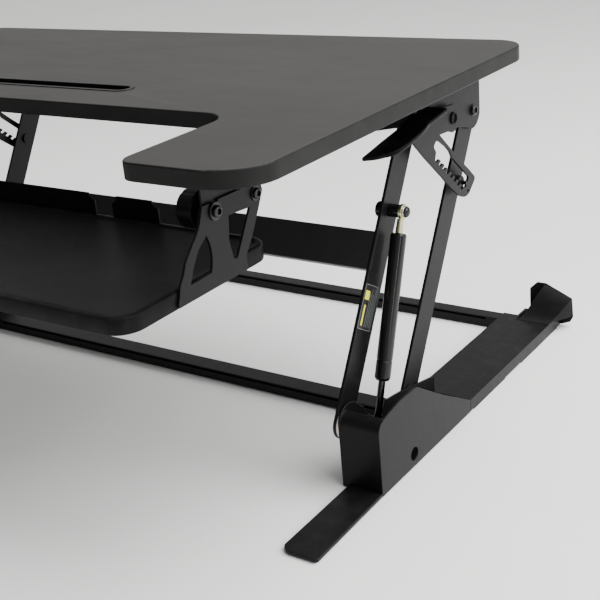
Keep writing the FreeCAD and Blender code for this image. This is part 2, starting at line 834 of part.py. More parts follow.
HEAD_STEPS = [
    (368.5, 372.3, 9.0),
    (372.3, 381.0, PIN_R),
    (381.0, 385.5, 7.5),
]
keep_both("front_head_pins", [
    stepped_pin("front_head_pin", HEAD_STEPS, "Dims.front_head_y", "Dims.front_head_z"),
])
keep_both("rear_head_pins", [
    stepped_pin("rear_head_pin", HEAD_STEPS, "Dims.rear_head_y", "Dims.rear_head_z"),
])

keep_both("head_washers", [
    make_washer("front_head_washer", 13.0, "Dims.front_head_y", "Dims.front_head_z"),
    make_washer("rear_head_washer", 15.0, "Dims.rear_head_y", "Dims.rear_head_z"),
])

bracket_screws = []
for index, screw_y in enumerate((0.0, 110.0, 190.0)):
    bracket_screws.append(bolt_down("bracket_screw" + str(index + 1), 5.0, 3.0, 361.0, screw_y, 405.4))
keep_both("bracket_screws", bracket_screws)


# --- release lever ---------------------------------------------------------
def polar(centre_y, centre_z, radius, degrees):
    """Point at a radius and angle about a centre, in the side view."""
    turn = math.radians(degrees)
    return (centre_y + radius * math.cos(turn), centre_z + radius * math.sin(turn))


SLOT_TILT = math.radians(-40.46)


def along_slot(along, across):
    """Side-view point at a distance along and across the slope of the slot."""
    return (
        along * math.cos(SLOT_TILT) - across * math.sin(SLOT_TILT),
        along * math.sin(SLOT_TILT) + across * math.cos(SLOT_TILT),
    )


def toothed_slot():
    """Slot round the ratchet pin's path, with eight leaning notches on one side."""
    loop = [
        (-36.0, 323.5),
        (-88.0, 323.5),
        (-98.0, 327.2),
        (-112.0, 327.2),
        (-132.0, 324.8),
        (-136.4, 321.0),
        (-137.0, 315.4),
        (-134.6, 313.4),
        (-128.4, 312.2),
    ]
    pitch = 11.2
    for index in range(8):
        middle = -122.5 + pitch * index
        if index > 0:
            loop.append((middle - 0.2, 308.3))
        loop.append((middle - 2.7, 303.0))
        loop.append((middle + 2.7, 303.0))
        loop.append((middle + 5.2, 308.3))
    loop.append((-35.6, 308.3))
    loop.append((-34.0, 310.0))
    loop.append((-34.0, 321.5))
    return [along_slot(along, across) for along, across in loop]


def make_release_lever():
    """Toothed plate on the bracket's pivot, with a flange under the hand paddle."""
    body = new_body("release_lever")
    plate = [
        (52.0, 345.4),
        (77.4, 321.4),
        (99.6, 302.2),
        (118.0, 286.1),
        (134.4, 270.2),
        (159.0, 251.5),
        (166.7, 247.9, -24.0),
        (185.6, 248.4),
        (200.2, 260.6, -5.0),
        (197.8, 266.4),
        (187.5, 275.7),
        (157.4, 300.4),
        (115.0, 338.1),
        (138.5, 336.5, -16.5),
        (165.2, 349.5, -16.5),
        (150.1, 365.9),
        (139.0, 366.0),
        (92.0, 371.2),
        (52.0, 366.4),
    ]
    add_pad(
        body, "lever_plate", "YZ_Plane", "Dims.lever_x", "Dims.lever_thickness",
        [plate, toothed_slot()], [(148.7, 349.5, RUN_R), (180.8, 252.0, 2.0)],
    )
    flange = [
        (-10.0, 358.2),
        (28.7, 363.5),
        (88.0, 370.8),
        (88.0, 368.4),
        (28.7, 361.1),
        (-10.0, 355.8),
    ]
    add_pad(body, "lever_flange", "YZ_Plane", "Dims.lever_x", cell("lever_flange_width", 17.5), [flange])
    return body


def make_lever_grip():
    """Moulded hand paddle that lies flat on the lever's flange."""
    body = new_body("lever_grip")
    profile = [
        (-52.0, 357.3),
        (-33.4, 360.0),
        (-12.4, 363.5),
        (28.7, 369.1),
        (90.0, 376.7, 2.5),
        (92.5, 374.3),
        (92.5, 371.6),
        (28.7, 363.7),
        (-12.4, 358.1),
        (-33.4, 354.6),
        (-52.0, 352.4),
        (-53.6, 354.6),
    ]
    add_pad(body, "grip", "YZ_Plane", "Dims.lever_x", cell("grip_width", 32.0), [profile])
    outside = [
        (386.0, -51.6),
        (392.0, -48.6, -30.0),
        (407.0, -37.0, -24.0),
        (417.2, -18.0, -90.0),
        (418.2, 4.0, -160.0),
        (413.0, 50.0),
        (413.0, 93.0),
        (424.0, 93.0),
        (424.0, -60.0),
        (386.0, -60.0),
    ]
    add_pocket(body, "grip_shape", "XY_Plane", cell("grip_shape_offset", 380.0),
               cell("grip_shape_depth", 35.0), [outside])
    return body


keep_pair("release_lever", make_release_lever())
keep_pair("lever_grip", make_lever_grip())
LEVER_STEPS = [
    (376.9, 378.4, 7.0),
    (378.4, 381.0, PIN_R),
    (381.0, 386.2, 8.0),
    (386.2, 389.8, PIN_R),
    (389.8, 391.8, 7.5),
]
keep_both("lever_pivots", [
    stepped_pin("lever_pivot", LEVER_STEPS, "Dims.lever_pivot_y", "Dims.lever_pivot_z"),
])


# --- keyboard tray ---------------------------------------------------------
def make_keyboard_tray():
    """Tray board with rounded corners and a rolled top edge."""
    body = new_body("keyboard_tray")
    half = SIZES["tray_half_width"]
    front, back = SIZES["tray_front"], SIZES["tray_back"]
    plan = [(-half, front), (half, front), (half, back), (-half, back)]
    add_pad(body, "tray", "XY_Plane", "Dims.tray_bottom", "Dims.tray_thickness", [plan])
    corners = [(-half, front), (half, front), (half, back), (-half, back)]
    round_edges(body, "tray_corners", 24.0, edge_at(2, corners))
    top = SIZES["tray_bottom"] + SIZES["tray_thickness"]
    round_edges(body, "tray_top_edge", 3.0, edges_in_plane(2, top))
    round_edges(body, "tray_bottom_edge", 1.5, edges_in_plane(2, SIZES["tray_bottom"]))
    return body


def make_tray_tab(name, left, right):
    """Upright steel stop along the back edge of the tray."""
    body = new_body(name)
    outline = [
        (left, 281.0),
        (right, 281.0),
        (right, 312.0, 8.0),
        (right - 8.0, 320.0),
        (left + 8.0, 320.0, 8.0),
        (left, 312.0),
    ]
    add_pad(body, name + "_plate", "XZ_Plane", cell("tray_tab_offset", 151.8), cell("tray_tab_wall", 2.2),
            [outline], backwards=True)
    return body


def make_tray_bracket():
    """Side plate that hangs the tray, with two windows and an open clamp notch."""
    body = new_body("tray_bracket")
    outline = [
        (-303.5, 281.5),
        (-199.0, 281.5),
        (-199.0, 296.5),
        (-188.0, 310.4),
        (-171.8, 337.0),
        (-163.5, 352.0, -11.0),
        (-172.0, 363.0),
        (-232.6, 364.0),
        (-232.6, 354.5, 6.4),
        (-239.0, 348.1, 6.4),
        (-245.4, 354.5),
        (-245.4, 364.0),
        (-256.0, 364.0),
        (-262.0, 349.5, 60.0),
        (-275.1, 334.0),
        (-288.0, 320.0, 70.0),
        (-299.5, 301.0, 60.0),
        (-304.5, 286.0),
    ]
    rear_window = [
        (-219.7, 344.0),
        (-186.0, 341.5),
        (-211.9, 300.6, 4.0),
        (-218.9, 301.6),
        (-222.6, 320.0),
    ]
    front_window = [
        (-254.9, 335.2, 42.5),
        (-253.6, 298.3),
        (-284.8, 297.4),
        (-277.9, 311.9, 120.0),
        (-266.8, 327.0),
    ]
    add_pad(
        body, "bracket_side", "YZ_Plane", "Dims.tray_bracket_x", "Dims.tray_bracket_thickness",
        [outline, rear_window, front_window],
        [(SIZES["tray_pivot_y"], SIZES["tray_pivot_z"], 4.05)],
    )
    return body


def make_tray_hanger():
    """Angle plate fixed under the board that the tray bracket swings on."""
    body = new_body("tray_hanger")
    web = [(-252.0, 411.0), (-252.0, 342.0), (-164.0, 342.0), (-164.0, 411.0)]
    holes = [
        (SIZES["tray_pivot_y"], SIZES["tray_pivot_z"], 4.0),
        (SIZES["tray_clamp_y"], SIZES["tray_clamp_z"], 4.0),
    ]
    add_pad(body, "hanger_web", "YZ_Plane", cell("hanger_x", 335.2), cell("hanger_wall", 2.6), [web], holes)
    flange = [(337.6, -252.0), (364.0, -252.0), (364.0, -164.0), (337.6, -164.0)]
    add_pad(body, "hanger_flange", "XY_Plane", "Dims.flange_bottom", "Dims.flange_wall", [flange])
    return body


nodes["keyboard_tray"] = make_keyboard_tray()
nodes["tray_tabs"] = gathered("tray_tabs", [
    make_tray_tab("tray_tab_middle", -94.0, 94.0),
    make_tray_tab("tray_tab_right", 120.0, 188.0),
    make_tray_tab("tray_tab_left", -188.0, -120.0),
])
keep_pair("tray_bracket", make_tray_bracket())
keep_pair("tray_hanger", make_tray_hanger())

PIVOT_STEPS = [(331.5, 335.2, 7.0), (335.2, 341.3, 4.0), (341.3, 345.8, 7.5)]
keep_both("tray_pivot_bolts", [
    stepped_pin("tray_pivot_bolt", PIVOT_STEPS, "Dims.tray_pivot_y", "Dims.tray_pivot_z"),
])
CLAMP_STEPS = [(314.0, 341.3, 4.0), (341.3, 342.9, 9.0), (342.9, 346.8, 6.0)]
keep_both("tray_clamp_bolts", [
    stepped_pin("tray_clamp_bolt", CLAMP_STEPS, "Dims.tray_clamp_y", "Dims.tray_clamp_z"),
])


def make_knob():
    """Lobed hand knob threaded on the clamp bolt."""
    body = new_body("clamp_knob")
    lobes = 8
    outline = []
    for index in range(lobes):
        turn = 360.0 / lobes * index
        start = polar(0.0, 0.0, 19.0, turn - 15.0)
        finish = polar(0.0, 0.0, 19.0, turn + 15.0)
        outline.append((start[0], start[1], -19.0))
        outline.append((finish[0], finish[1], 9.0))
    add_pad(body, "knob_rim", "YZ_Plane", cell("knob_x", 309.0), cell("knob_width", 18.0), [outline])
    add_pad(body, "knob_hub", "YZ_Plane", cell("knob_hub_x", 327.0), cell("knob_hub_width", 4.0),
            [], [(0.0, 0.0, 9.0)])
    add_pocket(body, "knob_bore", "YZ_Plane", cell("knob_bore_x", 313.0), cell("knob_bore_depth", 20.0),
               [], [(0.0, 0.0, 4.05)], backwards=True)
    body.setExpression(".Placement.Base.y", "Dims.tray_clamp_y")
    body.setExpression(".Placement.Base.z", "Dims.tray_clamp_z")
    return body


keep_pair("clamp_knob", make_knob())

hanger_screws = []
for index, screw_y in enumerate((-236.0, -180.0)):
    hanger_screws.append(bolt_down("hanger_screw" + str(index + 1), 5.0, 3.0, 354.0, screw_y, 405.4))
keep_both("hanger_screws", hanger_screws)

# --- check and export ------------------------------------------------------
doc.recompute()
faults = []
for item in doc.Objects:
    if "Invalid" in item.State or "Error" in item.State:
        faults.append(item.Name + " " + str(item.State))
for node_name, item in nodes.items():
    if item.Shape.isNull() or not item.Shape.isValid() or not item.Shape.Solids:
        faults.append(node_name + " has no valid solid")
if faults:
    raise RuntimeError("; ".join(faults))

os.makedirs("parts", exist_ok=True)
for node_name, item in nodes.items():
    item.Shape.exportStep("parts/" + node_name + ".step")
print("nodes", len(nodes))
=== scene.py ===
"""Looks for the two-tier desk converter: finishes, softened edges, fasteners, light and camera."""

import json
import math

import bmesh
import bpy
from mathutils import Matrix, Vector


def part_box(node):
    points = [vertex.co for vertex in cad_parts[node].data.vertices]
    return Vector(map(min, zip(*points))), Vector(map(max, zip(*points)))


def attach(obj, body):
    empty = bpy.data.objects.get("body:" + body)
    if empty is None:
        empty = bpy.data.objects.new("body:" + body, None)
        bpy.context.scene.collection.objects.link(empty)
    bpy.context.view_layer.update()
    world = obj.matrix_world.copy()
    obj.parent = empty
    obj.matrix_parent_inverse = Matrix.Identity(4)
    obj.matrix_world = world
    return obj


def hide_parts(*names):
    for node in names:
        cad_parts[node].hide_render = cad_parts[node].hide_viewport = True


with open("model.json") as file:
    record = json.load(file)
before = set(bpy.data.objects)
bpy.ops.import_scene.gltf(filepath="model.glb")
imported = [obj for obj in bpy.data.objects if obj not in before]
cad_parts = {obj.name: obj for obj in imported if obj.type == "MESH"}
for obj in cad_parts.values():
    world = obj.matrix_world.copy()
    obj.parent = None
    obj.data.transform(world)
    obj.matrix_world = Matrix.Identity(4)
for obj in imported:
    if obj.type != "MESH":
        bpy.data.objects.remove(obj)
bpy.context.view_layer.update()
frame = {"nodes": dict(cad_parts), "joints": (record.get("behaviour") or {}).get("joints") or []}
MM = 0.001
NODES = frame["nodes"]
JOINTS = {joint["name"]: joint for joint in frame["joints"]}
SIDES = (("right", 1.0), ("left", -1.0))

# how meshes are joined, flattened and shaded
SEAM_GAP = 0.02 * MM
FLAT_ANGLE = math.radians(0.6)
EDGE_ANGLE = math.radians(34.0)
SMOOTH_ANGLE = 32.0
TURNED_SMOOTH_ANGLE = 30.0
PIECE_SHADING = 90
BOARD_SHADING = 80
# a face whose normal's height is over this lies level
LEVEL = 0.85


# --- node helpers ------------------------------------------------------------
# places of the colour sockets on Blender's Mix node, whose names repeat
MIX_FACTOR = 0
MIX_COLOUR_A = 6
MIX_COLOUR_B = 7
MIX_COLOUR_OUT = 2


class Graph:
    """A material's node tree, built by short calls."""

    def __init__(self, name):
        self.material = bpy.data.materials.new(name)
        self.material.use_nodes = True
        self.tree = self.material.node_tree
        self.tree.nodes.clear()
        self.out = self.tree.nodes.new("ShaderNodeOutputMaterial")
        self.shader = self.tree.nodes.new("ShaderNodeBsdfPrincipled")
        self.join(self.shader, "BSDF", self.out, "Surface")
        coords = self.tree.nodes.new("ShaderNodeTexCoord")
        self.coords = (coords, "Object")

    def node(self, kind, **values):
        """New node with its settings or its inputs' plain values."""
        made = self.tree.nodes.new(kind)
        for key, value in values.items():
            if hasattr(made, key):
                setattr(made, key, value)
            else:
                made.inputs[key.replace("_", " ")].default_value = value
        return made

    def join(self, a, a_out, b, b_in):
        """Link an output of node a to an input of node b."""
        self.tree.links.new(a.outputs[a_out], b.inputs[b_in])

    def stretched(self, scale):
        """Object coordinates multiplied by a scale along each axis."""
        mapping = self.node("ShaderNodeMapping")
        mapping.inputs["Scale"].default_value = scale
        self.join(self.coords[0], self.coords[1], mapping, "Vector")
        return mapping, "Vector"

    def noise(self, scale, detail, rough=0.55, source=None):
        """Noise value whose cells are about 1 / scale metres across."""
        made = self.node("ShaderNodeTexNoise", Scale=scale, Detail=detail, Roughness=rough)
        where = source or self.coords
        self.join(where[0], where[1], made, "Vector")
        return made, "Fac"

    def cells(self, scale):
        """Distance from the middle of cells about 1 / scale metres across."""
        made = self.node("ShaderNodeTexVoronoi", Scale=scale)
        self.join(self.coords[0], self.coords[1], made, "Vector")
        return made, "Distance"

    def ramp(self, source, stops):
        """Grey ramp through two (position, value) stops."""
        made = self.node("ShaderNodeValToRGB")
        for element, (place, value) in zip(made.color_ramp.elements, stops):
            element.position = place
            element.color = (value, value, value, 1.0)
        self.join(source[0], source[1], made, "Fac")
        return made, "Color"

    def mixed(self, factor, a, b):
        """Blend two colours by an output pair; each colour is an output pair or a plain colour."""
        made = self.node("ShaderNodeMix")
        made.data_type = "RGBA"
        self.join(factor[0], factor[1], made, MIX_FACTOR)
        for socket, value in ((MIX_COLOUR_A, a), (MIX_COLOUR_B, b)):
            if isinstance(value[0], float):
                made.inputs[socket].default_value = (*value, 1.0)
            else:
                self.join(value[0], value[1], made, socket)
        return made, MIX_COLOUR_OUT

    def times(self, a, b):
        """Product of an output pair and another output pair or a number."""
        made = self.node("ShaderNodeMath", operation="MULTIPLY")
        self.join(a[0], a[1], made, 0)
        if isinstance(b, float):
            made.inputs[1].default_value = b
        else:
            self.join(b[0], b[1], made, 1)
        return made, "Value"

    def ranged(self, source, low, high):
        """Map a 0 to 1 value onto low to high."""
        made = self.node("ShaderNodeMapRange")
        made.inputs["To Min"].default_value = low
        made.inputs["To Max"].default_value = high
        self.join(source[0], source[1], made, "Value")
        return made, "Result"

    def facing_up(self):
        """How far the surface faces upwards, 0 to 1."""
        geometry = self.node("ShaderNodeNewGeometry")
        split = self.node("ShaderNodeSeparateXYZ")
        self.join(geometry, "Normal", split, "Vector")
        return self.ranged((split, "Z"), 0.0, 1.0)

    def edge_wear_and_highlight(self, radius, low, high):
        """1 on convex edges, which are lightened for wear and a painted highlight, and 0
        elsewhere, from the bevel normal.
        """
        bevel = self.node("ShaderNodeBevel", samples=4)
        bevel.inputs["Radius"].default_value = radius
        geometry = self.node("ShaderNodeNewGeometry")
        dot = self.node("ShaderNodeVectorMath", operation="DOT_PRODUCT")
        self.join(bevel, "Normal", dot, 0)
        self.join(geometry, "Normal", dot, 1)
        return self.ramp((dot, "Value"), [(low, 1.0), (high, 0.0)])

    def bump(self, source, height, strength, below=None):
        """Bump whose full swing is about height metres."""
        made = self.node("ShaderNodeBump")
        made.inputs["Strength"].default_value = strength
        made.inputs["Distance"].default_value = height
        self.join(source[0], source[1], made, "Height")
        if below is not None:
            self.join(below[0], below[1], made, "Normal")
        return made, "Normal"

    def finish(self, colour, rough, normal, **constants):
        """Wire the shader and set its plain constants on its own sockets."""
        for pair, name in ((colour, "Base Color"), (rough, "Roughness"), (normal, "Normal")):
            self.join(pair[0], pair[1], self.shader, name)
        for name, value in constants.items():
            self.shader.inputs[name.replace("_", " ")].default_value = value
        return self.material


# --- materials ----------------------------------------------------------------
# dark and light are the two ends of a surface's own colour variation; rough is its mean
# roughness; noise scales are in cells a metre, so 1000 is a detail of one millimetre
# width of the edge mask that lightens convex edges for wear and a painted highlight
EDGE_WEAR_AND_HIGHLIGHT_WIDTH = 1.0 * MM


def powder_coat(name, dark, light, rough, gloss):
    """Baked powder coating: fine orange peel, faint blotches, dust on top, edges lightened by
    rubbing and by a painted highlight.
    """
    g = Graph(name)
    blotch = g.noise(9.0, 4.0)
    body = g.mixed(g.ramp(blotch, [(0.35, 0.0), (0.7, 1.0)]), dark, light)
    speck = g.ramp(g.noise(900.0, 2.0), [(0.62, 0.0), (0.74, 1.0)])
    speckled = g.mixed(g.times(speck, 0.22), body, (0.040, 0.040, 0.041))
    dust_noise = g.ramp(g.noise(55.0, 6.0, 0.7), [(0.45, 0.0), (0.8, 1.0)])
    dust = g.times(g.times(g.facing_up(), dust_noise), 0.04)
    dusty = g.mixed(dust, speckled, (0.17, 0.165, 0.155))
    # convex edges lighter: rubbed paint and a painted edge highlight
    worn_and_highlit = g.times(g.edge_wear_and_highlight(EDGE_WEAR_AND_HIGHLIGHT_WIDTH, 0.80, 0.99), 0.35)
    rubbed_and_highlit = g.mixed(worn_and_highlit, dusty, (0.034, 0.034, 0.035))
    roughness = g.ranged(g.noise(120.0, 5.0, 0.65), rough - 0.07, rough + 0.1)
    peel = g.bump(g.noise(1500.0, 2.0), 0.00004, 0.5)
    waves = g.bump(g.noise(260.0, 2.0), 0.00008, 0.35, peel)
    return g.finish(rubbed_and_highlit, roughness, waves, IOR=1.5, Specular_IOR_Level=gloss)


def moulded(name, dark, light, rough, grain=0.00005, gloss=0.13):
    """Injection-moulded plastic with a spark-eroded grain and handling marks."""
    g = Graph(name)
    body = g.mixed(g.ramp(g.noise(14.0, 4.0), [(0.3, 0.0), (0.7, 1.0)]), dark, light)
    touched = g.ramp(g.noise(38.0, 6.0, 0.7), [(0.5, 0.0), (0.72, 1.0)])
    marked = g.mixed(g.times(touched, 0.18), body, (0.035, 0.035, 0.035))
    # convex edges lighter: rubbed plastic and a painted edge highlight
    worn_and_highlit = g.times(g.edge_wear_and_highlight(EDGE_WEAR_AND_HIGHLIGHT_WIDTH, 0.82, 0.995), 0.35)
    rubbed_and_highlit = g.mixed(worn_and_highlit, marked, (0.060, 0.060, 0.060))
    roughness = g.ranged(g.noise(70.0, 5.0, 0.6), rough - 0.06, rough + 0.09)
    erosion = g.bump(g.cells(1700.0), grain, 0.6)
    return g.finish(rubbed_and_highlit, roughness, erosion, IOR=1.46, Specular_IOR_Level=gloss)


def laminate(name, dark, light, rough, gloss):
    """Matt laminate: micro-dimpled, with soft smears and the odd fine scratch."""
    g = Graph(name)
    cloud = g.ramp(g.noise(3.2, 5.0, 0.6), [(0.3, 0.0), (0.72, 1.0)])
    body = g.mixed(cloud, dark, light)
    fine = g.ramp(g.noise(1150.0, 2.0), [(0.35, 0.0), (0.7, 1.0)])
    grained = g.mixed(g.times(fine, 0.20), body, (0.040, 0.040, 0.039))
    dust = g.ramp(g.noise(420.0, 7.0, 0.8), [(0.66, 0.0), (0.78, 1.0)])
    dusty = g.mixed(g.times(dust, 0.08), grained, (0.16, 0.155, 0.145))
    strokes = g.noise(14.0, 3.0, 0.6, g.stretched((1.0, 38.0, 1.0)))
    scratch = g.ramp(strokes, [(0.700, 0.0), (0.712, 1.0)])
    scratched = g.mixed(g.times(scratch, 0.10), dusty, (0.16, 0.16, 0.16))
    smear = g.noise(7.0, 6.0, 0.65, g.stretched((1.0, 2.2, 1.0)))
    roughness = g.ranged(smear, rough - 0.09, rough + 0.11)
    dimple = g.bump(g.cells(1250.0), 0.00006, 0.5)
    ripple = g.bump(g.noise(330.0, 3.0), 0.00005, 0.4, dimple)
    return g.finish(scratched, roughness, ripple, IOR=1.5, Specular_IOR_Level=gloss)


def plated(name, pale, deep, rough, brushed=(1.0, 1.0, 1.0)):
    """Plated steel with faint blotches, turning marks and dulled patches."""
    g = Graph(name)
    tint = g.mixed(g.ramp(g.noise(160.0, 4.0), [(0.35, 0.0), (0.7, 1.0)]), pale, deep)
    dull = g.ramp(g.noise(420.0, 5.0, 0.7), [(0.5, 0.0), (0.75, 1.0)])
    dulled = g.mixed(g.times(dull, 0.35), tint, tuple(0.45 * v for v in deep))
    lines = g.noise(900.0, 3.0, 0.6, g.stretched(brushed))
    roughness = g.ranged(lines, rough - 0.08, rough + 0.14)
    turned = g.bump(lines, 0.00003, 0.4)
    return g.finish(dulled, roughness, turned, Metallic=1.0)


def glossy_enamel(name):
    """Black enamel of the pressure tube: glossy, with long soft ripples and dust."""
    g = Graph(name)
    body = g.mixed(g.noise(30.0, 4.0), (0.0035, 0.0035, 0.0038), (0.0065, 0.0065, 0.007))
    dust = g.ramp(g.noise(700.0, 6.0, 0.8), [(0.64, 0.0), (0.76, 1.0)])
    dusty = g.mixed(g.times(dust, 0.08), body, (0.10, 0.10, 0.10))
    roughness = g.ranged(g.noise(220.0, 5.0, 0.7), 0.09, 0.18)
    ripple = g.bump(g.noise(320.0, 2.0), 0.00004, 0.35)
    return g.finish(
        dusty, roughness, ripple,
        IOR=1.5, Specular_IOR_Level=0.22, Coat_Weight=0.10, Coat_Roughness=0.10,
    )


def rubbery(name):
    """Matt rubber with a chalky bloom."""
    g = Graph(name)
    bloom = g.ramp(g.noise(90.0, 6.0, 0.7), [(0.4, 0.0), (0.8, 1.0)])
    body = g.mixed(g.times(bloom, 0.5), (0.012, 0.012, 0.012), (0.06, 0.059, 0.056))
    roughness = g.ranged(g.noise(200.0, 4.0), 0.75, 0.95)
    return g.finish(body, roughness, g.bump(g.cells(1400.0), 0.00008, 0.7))


def nylon_like(name):
    """Milky nylon of the thrust washers, a little grubby."""
    g = Graph(name)
    grime = g.ramp(g.noise(240.0, 6.0, 0.7), [(0.45, 0.0), (0.8, 1.0)])
    body = g.mixed(g.times(grime, 0.5), (0.62, 0.60, 0.56), (0.30, 0.29, 0.27))
    roughness = g.ranged(g.noise(300.0, 4.0), 0.35, 0.55)
    return g.finish(
        body, roughness, g.bump(g.noise(1300.0, 2.0), 0.00004, 0.5),
        Subsurface_Weight=0.15, Subsurface_Scale=0.002,
    )


def printed(name, dark, light):
    """Printed film, a little scuffed."""
    g = Graph(name)
    scuff = g.ramp(g.noise(700.0, 6.0, 0.8), [(0.56, 0.0), (0.70, 1.0)])
    body = g.mixed(g.times(scuff, 0.6), light, dark)
    roughness = g.ranged(g.noise(200.0, 4.0), 0.26, 0.42)
    return g.finish(body, roughness, g.bump(g.noise(900.0, 2.0), 0.00003, 0.4))


# lighter copy of the black powder coat: painted light for the arm crossbar, which catches more
# light than the rest
LIT_CROSSBAR_STEEL = powder_coat(
    "powder_coat_crossbar_painted_light", (0.0110, 0.0108, 0.0110), (0.0150, 0.0148, 0.0150), 0.42, 0.24,
)
STEEL = powder_coat(
    "powder_coat", (0.0040, 0.0040, 0.0043), (0.0060, 0.0060, 0.0064), 0.37, 0.115,
)
BRACKET_STEEL = powder_coat(
    "powder_coat_bracket", (0.0040, 0.0039, 0.0042), (0.0058, 0.0057, 0.0061), 0.35, 0.12,
)
TOP = laminate("laminate_top", (0.0175, 0.0168, 0.0150), (0.0240, 0.0230, 0.0210), 0.50, 0.26)
EDGE = moulded("edge_band", (0.0060, 0.0060, 0.0060), (0.0095, 0.0095, 0.0092), 0.38)
TRAY = laminate("tray_surface", (0.0045, 0.0042, 0.0048), (0.0070, 0.0066, 0.0073), 0.44, 0.12)
PLASTIC = moulded(
    "moulded_black", (0.0026, 0.0026, 0.0028), (0.0045, 0.0045, 0.0048), 0.38, gloss=0.08,
)
GRIP = moulded(
    "grip_black", (0.0018, 0.0018, 0.0020), (0.0032, 0.0032, 0.0035), 0.30, 0.00006, 0.05,
)
TRIM = moulded("slot_plastic", (0.0035, 0.0035, 0.0035), (0.0060, 0.0060, 0.0060), 0.30)
OXIDE = plated("black_oxide", (0.050, 0.050, 0.052), (0.030, 0.030, 0.032), 0.30)
BOLT = plated("bolt_black", (0.045, 0.044, 0.047), (0.024, 0.024, 0.026), 0.30)
ZINC = plated("zinc_plate", (0.62, 0.61, 0.58), (0.48, 0.47, 0.45), 0.28)
YELLOW_ZINC = plated("yellow_zinc", (0.66, 0.64, 0.36), (0.50, 0.52, 0.34), 0.26)
ROD = plated("dark_rod", (0.10, 0.10, 0.105), (0.07, 0.07, 0.075), 0.18, (1.0, 1.0, 20.0))
ENAMEL = glossy_enamel("gloss_enamel")
RUBBER = rubbery("rubber_pad")
NYLON = nylon_like("nylon_washer")
FILM = printed("label_film", (0.012, 0.012, 0.012), (0.006, 0.005, 0.007))
YELLOW = printed("label_yellow", (0.30, 0.26, 0.02), (0.62, 0.60, 0.03))
PALE = printed("label_pale", (0.05, 0.06, 0.055), (0.16, 0.18, 0.17))


# --- mesh helpers -------------------------------------------------------------
def new_object(name, bm, material, body, smooth_angle=SMOOTH_ANGLE):
    """Turn a bmesh drawn in metres into a piece that rides on a CAD body."""
    mesh = bpy.data.meshes.new(name)
    bmesh.ops.recalc_face_normals(bm, faces=bm.faces)
    bm.to_mesh(mesh)
    bm.free()
    piece = bpy.data.objects.new(name, mesh)
    bpy.context.scene.collection.objects.link(piece)
    mesh.materials.append(material)
    for polygon in mesh.polygons:
        polygon.use_smooth = True
    mesh.set_sharp_from_angle(angle=math.radians(smooth_angle))
    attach(piece, body)
    return piece


def skin(bm, sections):
    """Closed skin through sections of equal point count, given in millimetres."""
    rings = [[bm.verts.new(Vector(point) * MM) for point in section] for section in sections]
    count = len(rings[0])
    for near, far in zip(rings, rings[1:]):
        for i in range(count):
            j = (i + 1) % count
            bm.faces.new((near[i], near[j], far[j], far[i]))
    bm.faces.new(list(reversed(rings[0])))
    bm.faces.new(rings[-1])


def weld_seams(piece):
    """Join the faces of a CAD mesh, which come apart along its edges."""
    merge = piece.modifiers.new("join_seams", "WELD")
    merge.merge_threshold = SEAM_GAP


def whole_flats(piece):
    """Make each flat face of a CAD mesh one polygon, so that bevels stay even."""
    flats = piece.modifiers.new("whole_flats", "DECIMATE")
    flats.decimate_type = "DISSOLVE"
    flats.angle_limit = FLAT_ANGLE


def even_shading(piece, weight):
    """Let large faces set the shading, so that flats look flat."""
    normals = piece.modifiers.new("even_shading", "WEIGHTED_NORMAL")
    normals.keep_sharp = False
    normals.weight = weight


def soften(piece, width, segments):
    """Round every sharp edge of a piece by a small width, in millimetres."""
    bevel = piece.modifiers.new("soft_edges", "BEVEL")
    bevel.width = width * MM
    bevel.segments = segments
    bevel.limit_method = "ANGLE"
    bevel.angle_limit = EDGE_ANGLE
    bevel.use_clamp_overlap = False
    bevel.harden_normals = False
    even_shading(piece, PIECE_SHADING)


def finish_node(node, material):
    """Give a CAD node its finish and smooth shading."""
    piece = NODES[node]
    piece.data.materials.clear()
    piece.data.materials.append(material)
    for polygon in piece.data.polygons:
        polygon.use_smooth = True
        polygon.material_index = 0
    weld_seams(piece)
    return piece


def dress(node, material, width, segments):
    """Give a CAD node its finish and softened edges."""
    piece = finish_node(node, material)
    whole_flats(piece)
    soften(piece, width, segments)


# --- finishes of the CAD nodes ------------------------------------------------------
# finish, edge rounding in millimetres and rounding steps of the nodes made once on each side
PAIRS = (
    ("foot_rail", STEEL, 0.8, 3),
    ("pivot_housing", STEEL, 0.7, 3),
    ("front_tongue", STEEL, 0.7, 2),
    ("front_arm", BRACKET_STEEL, 0.5, 2),
    ("rear_arm", BRACKET_STEEL, 0.5, 2),
    ("top_bracket", BRACKET_STEEL, 0.4, 2),
    ("release_lever", BRACKET_STEEL, 0.4, 2),
    ("tray_bracket", BRACKET_STEEL, 0.5, 2),
    ("tray_hanger", BRACKET_STEEL, 0.4, 2),
    ("ratchet_pin", STEEL, 0.4, 2),
    ("spring_rod", ROD, 0.3, 2),
    ("spring_cylinder", ENAMEL, 0.4, 2),
    ("spring_eye", YELLOW_ZINC, 0.5, 3),
    ("clamp_knob", PLASTIC, 1.8, 4),
    ("lever_grip", GRIP, 1.9, 5),
)
for stem, finish, edge, rounds in PAIRS:
    for side in ("left", "right"):
        dress(stem + "_" + side, finish, edge, rounds)

